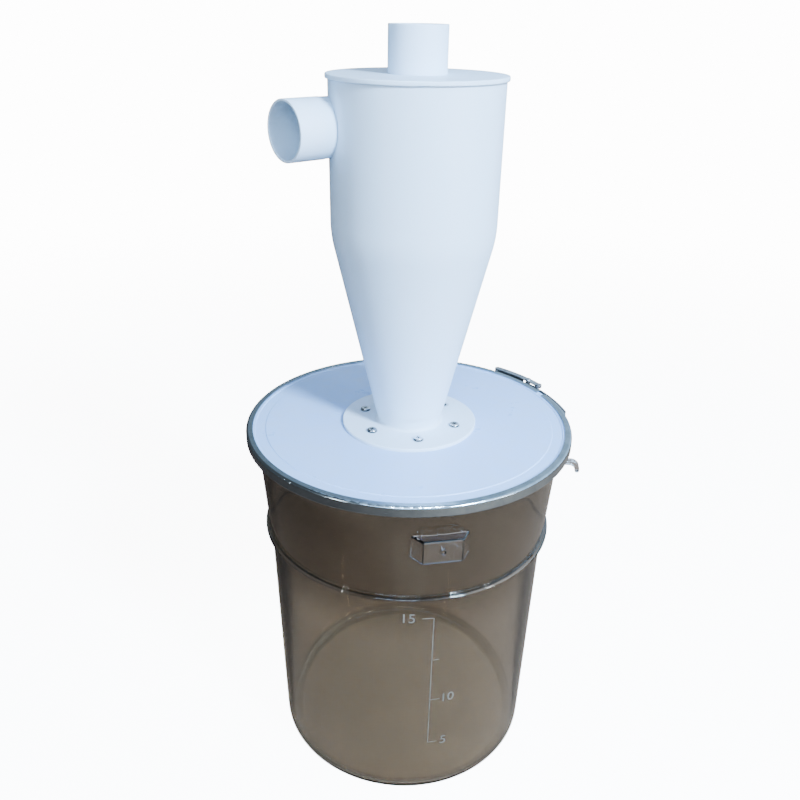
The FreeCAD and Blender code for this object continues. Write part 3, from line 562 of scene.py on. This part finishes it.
def screw_steel():
    """Nickel plated screws: bright crown, dark cross, threaded shank."""
    material, tree, shader = new_material("screw_steel")
    head_low, head_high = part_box("mounting_flange")[0].z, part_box("flange_screw_1")[1].z
    place = add_node(tree, "ShaderNodeTexCoord").outputs["Object"]
    height_up = add_node(tree, "ShaderNodeSeparateXYZ", {0: place}).outputs["Z"]
    crown = ramp_between(tree, height_up, head_high - CROSS_FLOOR_DROP, head_high - CROWN_DROP)
    grain = use_group(tree, grain_group, Streak_scale=0.5, Cloud_scale=200.0)
    bright = mix_colours(tree, grain.outputs["Clouds"], (0.62, 0.63, 0.66, 1), (0.80, 0.82, 0.85, 1))
    # Dark tone under the crown: grime and painted shade in the cross, painted shade on the head's lower
    # side and the shank.
    tone = mix_colours(tree, crown, (0.07, 0.075, 0.08, 1), bright)
    rough = ramp_between(tree, grain.outputs["Clouds"], 0.3, 0.7, 0.26, 0.12)
    turns = maths(tree, "SINE", maths(tree, "MULTIPLY", height_up, 2 * math.pi / THREAD_PITCH))
    under = ramp_between(tree, height_up, head_low, head_low - THREAD_FADE_H)
    bump = add_node(tree, "ShaderNodeBump", {
        "Height": maths(tree, "MULTIPLY", turns, under), "Strength": 0.6, "Distance": 0.0002})
    tree.links.new(tone, shader.inputs["Base Color"])
    tree.links.new(rough, shader.inputs["Roughness"])
    tree.links.new(bump.outputs["Normal"], shader.inputs["Normal"])
    shader.inputs["Metallic"].default_value = 1.0
    return material


screws_finish = screw_steel()
print("material", screws_finish.name)

# %% [markdown]
# ## The seal
# The lid's seal is black rubber. Only its edge can be seen, through the drum's wall.

# %% Material: seal rubber
def seal_rubber():
    """Matt black rubber with a faint bloom."""
    material, tree, shader = new_material("seal_rubber")
    drift = use_group(tree, drift_group, Tone_A=(0.022, 0.022, 0.024, 1), Tone_B=(0.05, 0.05, 0.052, 1),
                      Patch_size=60.0, Roughness_low=0.55, Roughness_high=0.8, Peel_scale=900.0)
    bump = add_node(tree, "ShaderNodeBump", {
        "Height": drift.outputs["Height"], "Strength": 0.15, "Distance": 0.0002})
    tree.links.new(drift.outputs["Colour"], shader.inputs["Base Color"])
    tree.links.new(drift.outputs["Roughness"], shader.inputs["Roughness"])
    tree.links.new(bump.outputs["Normal"], shader.inputs["Normal"])
    return material


rubber = seal_rubber()
print("material", rubber.name)

# %% [markdown]
# ## A finish for every piece
# Each piece of the construction already names the finish it has, so one table from that name to
# a material dresses all of them.

# %% Dress the construction
EAR_NODES = ("front_ear", "back_ear", "side_hook")
slots = {entry["node"]: entry["material_slot"] for entry in frame["record"]["subparts"]}
finishes = {
    "white_plastic": white,
    "lid_plastic": lid_sheet,
    "smoked_plastic": smoke,
    "ring_steel": ring_steel,
    "latch_steel": latch_steel,
    "screw_steel": screws_finish,
    "seal_rubber": rubber,
}
for name, node in frame["nodes"].items():
    node.data.materials.clear()
    node.data.materials.append(ear_smoke if name in EAR_NODES else finishes[slots[name]])
print("dressed", len(frame["nodes"]), "pieces in", len(finishes), "finishes")

# %% [markdown]
# ## Helpers for modelled pieces
# A round moulding is its half section spun round the middle line. The section is drawn as a few
# corner points, and each corner that is round on the real thing is bevelled while it is still a
# plain wire, which is far simpler than rounding the finished solid.

# %% Modelling helpers
ARC_SEGMENTS = 6
WELD_REACH = 1e-6
CREASE = math.radians(40)


def smoothed(mesh):
    """Shade a mesh smooth, with its real creases kept sharp."""
    mesh.shade_smooth()
    mesh.set_sharp_from_angle(angle=CREASE)
    return mesh


def spun_mesh(name, corners, steps):
    """Spin a half section of (radius, height, rounding reach) corners round the middle line."""
    work = bmesh.new()
    points = [work.verts.new((radius, 0.0, height)) for radius, height, reach in corners]
    for first, second in zip(points, points[1:]):
        work.edges.new((first, second))
    reaches = [reach for radius, height, reach in corners]
    for point, reach in zip(points, reaches):
        if reach > 0:
            bmesh.ops.bevel(work, geom=[point], offset=reach, offset_type="OFFSET",
                            segments=ARC_SEGMENTS, profile=0.5, affect="VERTICES", material=-1)
    bmesh.ops.spin(work, geom=work.verts[:] + work.edges[:], cent=(0, 0, 0), axis=(0, 0, 1),
                   angle=2 * math.pi, steps=steps, use_merge=True)
    bmesh.ops.remove_doubles(work, verts=work.verts[:], dist=WELD_REACH)
    bmesh.ops.recalc_face_normals(work, faces=work.faces[:])
    mesh = bpy.data.meshes.new(name)
    work.to_mesh(mesh)
    work.free()
    return smoothed(mesh)


def add_piece(name, mesh, material, slot, body, *replaced):
    """Put a mesh in the scene as a piece of the object, on a body, in place of some nodes."""
    piece = bpy.data.objects.new(name, mesh)
    scene.collection.objects.link(piece)
    mesh.materials.clear()
    mesh.materials.append(material)
    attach(piece, body)
    if replaced:
        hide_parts(*replaced)
    print(name, "faces", len(mesh.polygons))


print("modelling helpers ready")

# %% [markdown]
# ## The drum as one moulding
# The construction holds the drum as five rings that sit on each other, foot, lower wall, bead,
# upper wall and rim. In opaque plastic their joins wouldn't show, but in clear plastic each
# join is a mirror. So the drum is modelled again as one closed shell, with the same radii and
# heights: up the outside, over the rim, down the inside and across the floor. The bead is drawn
# hollow on the inside, like a wall of even thickness that is bent outwards. The construction's
# bead is solid, and in clear plastic that shows as a thick black band.

# %% Drum moulding
DRUM_WALL = 0.0028
DRUM_FLOOR = 0.0036
FOOT_FLARE = 0.0008
BEAD_STEP = 0.0020
BEAD_BAND = 0.0040
BEAD_ROOT = 0.0010
BEAD_SKIN = 0.0024
COLLAR_BEND_H = 0.0120
COLLAR_BEND_FLARE = 0.0016
COLLAR_FLARE = 0.0036
RIM_LIP = 0.0010
RING_SHEET = 0.0012
FOOT_CORNER = 0.0080
WALL_SOFTENING = 0.0004
BEAD_FILLET = 0.0006
BEAD_ROUND = 0.0016
BEAD_INNER_ROUND = 0.0010
COLLAR_LOW_ROUND = 0.0020
COLLAR_HIGH_ROUND = 0.0030
MOUTH_ROUND = 0.0010
RIM_ROUND = 0.0006
DRUM_STEPS = 192


def drum_section():
    """The drum's half section, from the middle of its underside to the middle of its floor."""
    wall_foot, lower_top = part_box("drum_base")[1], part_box("drum_lower_wall")[1]
    bead_low, bead_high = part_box("drum_bead")
    upper_low, upper_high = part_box("drum_upper_wall")
    rim_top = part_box("drum_rim")[1]
    rim_low_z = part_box("clamp_ring")[0].z + RING_SHEET
    bead_middle = (bead_low.z + bead_high.z) / 2
    band_low, band_high = bead_middle - BEAD_BAND / 2, bead_middle + BEAD_BAND / 2
    upper_foot_r = lower_top.x + BEAD_STEP
    bend_r = upper_high.x + COLLAR_BEND_FLARE
    bend_z = upper_high.z + COLLAR_BEND_H
    mouth_r = bend_r + COLLAR_FLARE
    outside = [
        (0.0, 0.0, 0.0),
        (wall_foot.x - FOOT_FLARE, 0.0, FOOT_CORNER),
        (wall_foot.x, wall_foot.z, 0.0),
        (lower_top.x, lower_top.z, WALL_SOFTENING),
        (lower_top.x + BEAD_STEP / 4, band_low - BEAD_ROOT, BEAD_FILLET),
        (bead_high.x, band_low, BEAD_ROUND),
        (bead_high.x, band_high, BEAD_ROUND),
        (upper_foot_r - BEAD_STEP / 4, band_high + BEAD_ROOT, BEAD_FILLET),
        (upper_foot_r, upper_low.z, WALL_SOFTENING),
        (upper_high.x, upper_high.z, COLLAR_LOW_ROUND),
        (bend_r, bend_z, COLLAR_HIGH_ROUND),
        (mouth_r, rim_low_z, MOUTH_ROUND),
        (rim_top.x, rim_low_z, RIM_ROUND),
        (rim_top.x, rim_top.z, RIM_ROUND),
    ]
    inside = [
        (mouth_r - DRUM_WALL - RIM_LIP, rim_top.z, MOUTH_ROUND),
        (bend_r - DRUM_WALL, bend_z, COLLAR_HIGH_ROUND),
        (upper_high.x - DRUM_WALL, upper_high.z, COLLAR_LOW_ROUND),
        (upper_foot_r - DRUM_WALL, band_high + BEAD_ROOT, BEAD_INNER_ROUND),
        (bead_high.x - BEAD_SKIN, band_high - BEAD_ROOT / 2, BEAD_INNER_ROUND),
        (bead_high.x - BEAD_SKIN, band_low + BEAD_ROOT / 2, BEAD_INNER_ROUND),
        (lower_top.x - DRUM_WALL, band_low - BEAD_ROOT, BEAD_INNER_ROUND),
        (wall_foot.x - DRUM_WALL, wall_foot.z, 0.0),
        (wall_foot.x - FOOT_FLARE - DRUM_WALL, DRUM_FLOOR, FOOT_CORNER),
        (0.0, DRUM_FLOOR, 0.0),
    ]
    return outside + inside


DRUM_NODES = ("drum_base", "drum_lower_wall", "drum_bead", "drum_upper_wall", "drum_rim")
add_piece("drum_moulding", spun_mesh("drum_moulding", drum_section(), DRUM_STEPS),
          smoke, "smoked_plastic", "drum", *DRUM_NODES)

# %% [markdown]
# ## The cyclone's body as one moulding
# Barrel and cone are one skin: the barrel turns into the cone over a soft shoulder, with no line
# between them. Spun as one section, that shoulder shades smoothly. The hole where the inlet
# enters is cut with a round bar, the way a hole saw makes it.

# %% Cyclone body
BODY_WALL = 0.0025
NECK_R = 0.0335
NECK_WALL = 0.00257
SHOULDER_DROP = 0.0120
SHOULDER_REACH = 0.0105
BARREL_FLARE = 0.0004
INLET_ROOT_R = 0.0247
BODY_STEPS = 128
CUT_SEGMENTS = 96


def body_section():
    """The closed half section of the cyclone's skin."""
    cone_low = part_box("cyclone_cone")[0]
    barrel_low, barrel_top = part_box("cyclone_barrel")
    foot_r = barrel_top.x - BARREL_FLARE
    shoulder_z = barrel_low.z - SHOULDER_DROP
    return [
        (NECK_R, cone_low.z, 0.0),
        (foot_r, shoulder_z, SHOULDER_REACH),
        (barrel_top.x, barrel_top.z, 0.0),
        (barrel_top.x - BODY_WALL, barrel_top.z, 0.0),
        (foot_r - BODY_WALL, shoulder_z, SHOULDER_REACH),
        (NECK_R - NECK_WALL, cone_low.z, 0.0),
        (NECK_R, cone_low.z, 0.0),
    ]


def drilled(mesh, mouth, outwards, length, radius):
    """The mesh with a round hole cut along an axis, from its mouth inwards."""
    work = bmesh.new()
    turn = Vector(outwards).to_track_quat("Z", "Y").to_matrix().to_4x4()
    middle = Vector(mouth) - Vector(outwards) * length / 2
    bmesh.ops.create_cone(work, cap_ends=True, segments=CUT_SEGMENTS, radius1=radius,
                          radius2=radius, depth=length, matrix=Matrix.Translation(middle) @ turn)
    bar_mesh = bpy.data.meshes.new("bar")
    work.to_mesh(bar_mesh)
    work.free()
    bar = bpy.data.objects.new("bar", bar_mesh)
    blank = bpy.data.objects.new("blank", mesh)
    for thing in (bar, blank):
        scene.collection.objects.link(thing)
    cut = blank.modifiers.new("cut", "BOOLEAN")
    cut.operation = "DIFFERENCE"
    cut.solver = "EXACT"
    cut.object = bar
    graph = bpy.context.evaluated_depsgraph_get()
    result = bpy.data.meshes.new_from_object(blank.evaluated_get(graph))
    for thing in (bar, blank):
        bpy.data.objects.remove(thing)
    return smoothed(result)


mounts = {entry["name"]: entry for entry in frame["record"]["mounts"]}
inlet = mounts["inlet_bore"]
body_mesh = drilled(spun_mesh("cyclone_body", body_section(), BODY_STEPS), inlet["pos_m"],
                    inlet["axis"], inlet["dims"]["length_mm"] / 1000, INLET_ROOT_R)
add_piece("cyclone_body", body_mesh, white, "white_plastic", "drum",
          "cyclone_cone", "cyclone_barrel")

# %% [markdown]
# ## The volume marks
# A scale stands on the drum's front: an upright line with short ticks and plain numbers. On a
# clear drum such marks are raised lines a few tenths of a millimetre high. They catch the light,
# so they read pale. Each is drawn flat and then bent onto the wall, which leans out upwards.

# %% Volume marks
MARK_LIFT = 0.00025
MARK_WIDTH = 0.0007
SCALE_LINE_AZ = 11.3
SCALE_FOOT_Z = 0.069
SCALE_TOP_Z = 0.232
NUMBER_H = 0.0105
CAPITAL_SHARE = 0.7
LONG_TICK = 0.0105
TICK = 0.0095
SHORT_TICK = 0.006
TEN_Z = 0.128
HALF_WAY_Z = 0.180
TICKS = (
    (8.9, SCALE_TOP_Z, LONG_TICK),
    (13.0, HALF_WAY_Z, SHORT_TICK),
    (13.3, TEN_Z, TICK),
    (13.3, SCALE_FOOT_Z, TICK),
)
NUMBERS = (
    ("15", 1.4, SCALE_TOP_Z),
    ("10", 18.6, TEN_Z),
    ("5", 18.0, SCALE_FOOT_Z),
)
LINE_PIECES = 12
TICK_PIECES = 6


def bend_onto_wall(work, azimuth, height):
    """Move flat points (along, up) onto the lower wall round an azimuth and a height."""
    foot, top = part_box("drum_base")[1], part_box("drum_lower_wall")[1]
    for point in work.verts:
        z = height + point.co.y
        radius = foot.x + (top.x - foot.x) * (z - foot.z) / (top.z - foot.z) + MARK_LIFT
        angle = math.radians(azimuth) + point.co.x / radius
        point.co = (radius * math.sin(angle), -radius * math.cos(angle), z)


def bent_bar(azimuth, height, along, up, pieces):
    """A flat bar bent onto the wall, centred on an azimuth and a height."""
    work = bmesh.new()
    bmesh.ops.create_grid(work, x_segments=pieces, y_segments=pieces, size=0.5)
    bmesh.ops.scale(work, vec=(along, up, 1.0), verts=work.verts[:])
    bend_onto_wall(work, azimuth, height)
    return work


def bent_number(text, azimuth, height):
    """A plain number bent onto the wall."""
    curve = bpy.data.curves.new("number", "FONT")
    curve.body = text
    curve.size = NUMBER_H / CAPITAL_SHARE
    curve.align_x = "CENTER"
    curve.align_y = "CENTER"
    holder = bpy.data.objects.new("number", curve)
    scene.collection.objects.link(holder)
    graph = bpy.context.evaluated_depsgraph_get()
    flat = bpy.data.meshes.new_from_object(holder.evaluated_get(graph))
    bpy.data.objects.remove(holder)
    work = bmesh.new()
    work.from_mesh(flat)
    bend_onto_wall(work, azimuth, height)
    return work


def scale_mesh():
    """All the marks joined in one mesh."""
    half = (SCALE_TOP_Z - SCALE_FOOT_Z) / 2
    parts = [bent_bar(SCALE_LINE_AZ, SCALE_FOOT_Z + half, MARK_WIDTH, 2 * half, LINE_PIECES)]
    for azimuth, height, along in TICKS:
        parts.append(bent_bar(azimuth, height, along, MARK_WIDTH, TICK_PIECES))
    for text, azimuth, height in NUMBERS:
        parts.append(bent_number(text, azimuth, height))
    whole = bmesh.new()
    for part in parts:
        step = bpy.data.meshes.new("step")
        part.to_mesh(step)
        part.free()
        whole.from_mesh(step)
        bpy.data.meshes.remove(step)
    bmesh.ops.recalc_face_normals(whole, faces=whole.faces[:])
    for face in whole.faces:
        middle = face.calc_center_median()
        if face.normal.dot(Vector((middle.x, middle.y, 0))) < 0:
            face.normal_flip()
    mesh = bpy.data.meshes.new("volume_marks")
    whole.to_mesh(mesh)
    whole.free()
    return mesh


def mark_finish():
    """Raised pale lines, broken up a little by wear."""
    material, tree, shader = new_material("volume_mark")
    drift = use_group(tree, drift_group, Tone_A=(0.07, 0.065, 0.055, 1), Tone_B=(0.20, 0.185, 0.16, 1),
                      Patch_size=90.0, Roughness_low=0.25, Roughness_high=0.5, Peel_scale=900.0)
    tree.links.new(drift.outputs["Colour"], shader.inputs["Base Color"])
    tree.links.new(drift.outputs["Roughness"], shader.inputs["Roughness"])
    return material


add_piece("volume_marks", scale_mesh(), mark_finish(), "smoked_plastic", "drum")


# %% [markdown]
# ## The stage
# A pale floor and plain soft light. The floor is a wide disc. Seen straight on it is almost
# white, with the object's soft shadow on it. What the drum and the steel mirror of it is a
# quieter grey, darker to the left, like the dark cards a studio stands beside clear things so
# that their edges can be read.

# %% Floor
FLOOR_R = 14.0
FLOOR_DROP = 0.0004
PAPER_WHITE = 14.0
NEAR_WHITE = 10.0
FLOOR_SIDES = 64
QUIET_FROM_TO = (-0.45, 0.55)
QUIET_LEFT = (0.078, 0.055, 0.040, 1)
QUIET_RIGHT = (0.27, 0.193, 0.138, 1)
SWEEP_FROM_TO = (0.7, 2.6)


def floor_paint():
    """Near white to the eye, a grey ramp from left to right in mirrors and through the drum."""
    material, tree, shader = new_material("floor_paint")
    tree.nodes.remove(shader)
    place = add_node(tree, "ShaderNodeTexCoord").outputs["Object"]
    across = add_node(tree, "ShaderNodeSeparateXYZ", {0: place}).outputs["X"]
    ramp = ramp_between(tree, across, *QUIET_FROM_TO)
    quiet = mix_colours(tree, ramp, QUIET_LEFT, QUIET_RIGHT)
    mirrored = add_node(tree, "ShaderNodeBsdfDiffuse", {"Color": quiet})
    seen = add_node(tree, "ShaderNodeBsdfDiffuse", {"Color": (0.80, 0.80, 0.80, 1)})
    glow = add_node(tree, "ShaderNodeEmission", {"Color": (1, 1, 1, 1), "Strength": NEAR_WHITE})
    lit = add_node(tree, "ShaderNodeAddShader", {0: seen.outputs[0], 1: glow.outputs[0]})
    far = ramp_between(tree, length_of(tree, place), *SWEEP_FROM_TO, kind="SMOOTHSTEP")
    paper = add_node(tree, "ShaderNodeEmission", {"Color": (1, 1, 1, 1), "Strength": PAPER_WHITE})
    sweep = add_node(tree, "ShaderNodeMixShader", {0: far, 1: lit.outputs[0], 2: paper.outputs[0]})
    path = add_node(tree, "ShaderNodeLightPath")
    mix = add_node(tree, "ShaderNodeMixShader", {
        0: path.outputs["Is Camera Ray"], 1: mirrored.outputs[0], 2: sweep.outputs[0]})
    surface(tree, mix)
    return material


def floor_disc():
    """A wide round floor just under the object."""
    work = bmesh.new()
    bmesh.ops.create_circle(work, cap_ends=True, segments=FLOOR_SIDES, radius=FLOOR_R,
                            matrix=Matrix.Translation((0, 0, -FLOOR_DROP)))
    mesh = bpy.data.meshes.new("floor")
    work.to_mesh(mesh)
    work.free()
    floor = bpy.data.objects.new("floor", mesh)
    scene.collection.objects.link(floor)
    mesh.materials.append(floor_paint())


floor_disc()
print("floor radius", FLOOR_R)

# %% [markdown]
# ## The light
# One soft box stands high at the front right. It is small enough to keep the cone's shadow on
# the lid readable. The room round it is a cool even glow, a little darker to the left, which
# fills the shadows.

# %% Room glow
GLOW_FROM_TO = (-0.8, 0.7)
GLOW_LEFT = (0.25, 0.31, 0.44, 1)
GLOW_RIGHT = (0.74, 0.95, 1.35, 1)
CARD_FROM_TO = (-0.35, 0.85)
CARD_LEFT = (0.13, 0.15, 0.16, 1)
CARD_RIGHT = (1.7, 2.5, 3.4, 1)


def room_glow():
    """The world: a cool glow for the object, and plain white where the camera looks past it."""
    world = bpy.data.worlds.new("studio")
    scene.world = world
    world.use_nodes = True
    tree = world.node_tree
    tree.nodes.clear()
    direction = add_node(tree, "ShaderNodeTexCoord").outputs["Generated"]
    across = add_node(tree, "ShaderNodeSeparateXYZ", {0: direction}).outputs["X"]
    tone = mix_colours(tree, ramp_between(tree, across, *GLOW_FROM_TO), GLOW_LEFT, GLOW_RIGHT)
    card = mix_colours(tree, ramp_between(tree, across, *CARD_FROM_TO), CARD_LEFT, CARD_RIGHT)
    path = add_node(tree, "ShaderNodeLightPath")
    lit_side = mix_colours(tree, path.outputs["Is Glossy Ray"], tone, card)
    room = add_node(tree, "ShaderNodeBackground", {"Color": lit_side, "Strength": 1.0})
    paper = add_node(tree, "ShaderNodeBackground", {"Color": (1, 1, 1, 1), "Strength": PAPER_WHITE})
    mix = add_node(tree, "ShaderNodeMixShader", {
        0: path.outputs["Is Camera Ray"], 1: room.outputs[0], 2: paper.outputs[0]})
    add_node(tree, "ShaderNodeOutputWorld", {"Surface": mix.outputs[0]})


room_glow()
print("world", scene.world.name)

# %% [markdown]
# ## The lamps
# The key lamp is a small soft box, so that it throws the cone's shadow on the lid. A wide, weak
# one from the front lifts the side that faces the eye. Two narrow strips stand at the sides. They
# add little light, but they draw the thin upright glints that tell the eye the drum is clear.

# %% Soft boxes
def soft_box(name, place, target, size, power, colour, height=0.0):
    """A round area light, or a strip of a height, that points at a target and isn't seen itself."""
    data = bpy.data.lights.new(name, "AREA")
    data.shape = "RECTANGLE" if height else "DISK"
    data.size = size
    data.size_y = height or size
    data.energy = power
    data.color = colour
    lamp = bpy.data.objects.new(name, data)
    turn = (Vector(target) - Vector(place)).to_track_quat("-Z", "Y").to_matrix().to_4x4()
    lamp.matrix_world = Matrix.Translation(place) @ turn
    lamp.visible_camera = False
    scene.collection.objects.link(lamp)
    print(name, power, "W")


LAMP_TONE = (0.50, 0.72, 1.0)
STRIP_TONE = (0.85, 0.93, 1.0)
STRIP_H = 0.9
soft_box("key", (1.25, -1.45, 1.75), (0, 0, 0.45), size=0.42, power=250.0, colour=LAMP_TONE)
soft_box("front_fill", (-0.2, -2.2, 1.5), (0, 0, 0.4), size=1.4, power=50.0, colour=LAMP_TONE)
for name, place, width in (("left_strip", (-1.25, -1.35, 0.75), 0.05),
                           ("right_strip", (1.45, -0.75, 0.75), 0.07)):
    soft_box(name, place, (0, 0, 0.25), size=width, power=9.0, colour=STRIP_TONE, height=STRIP_H)
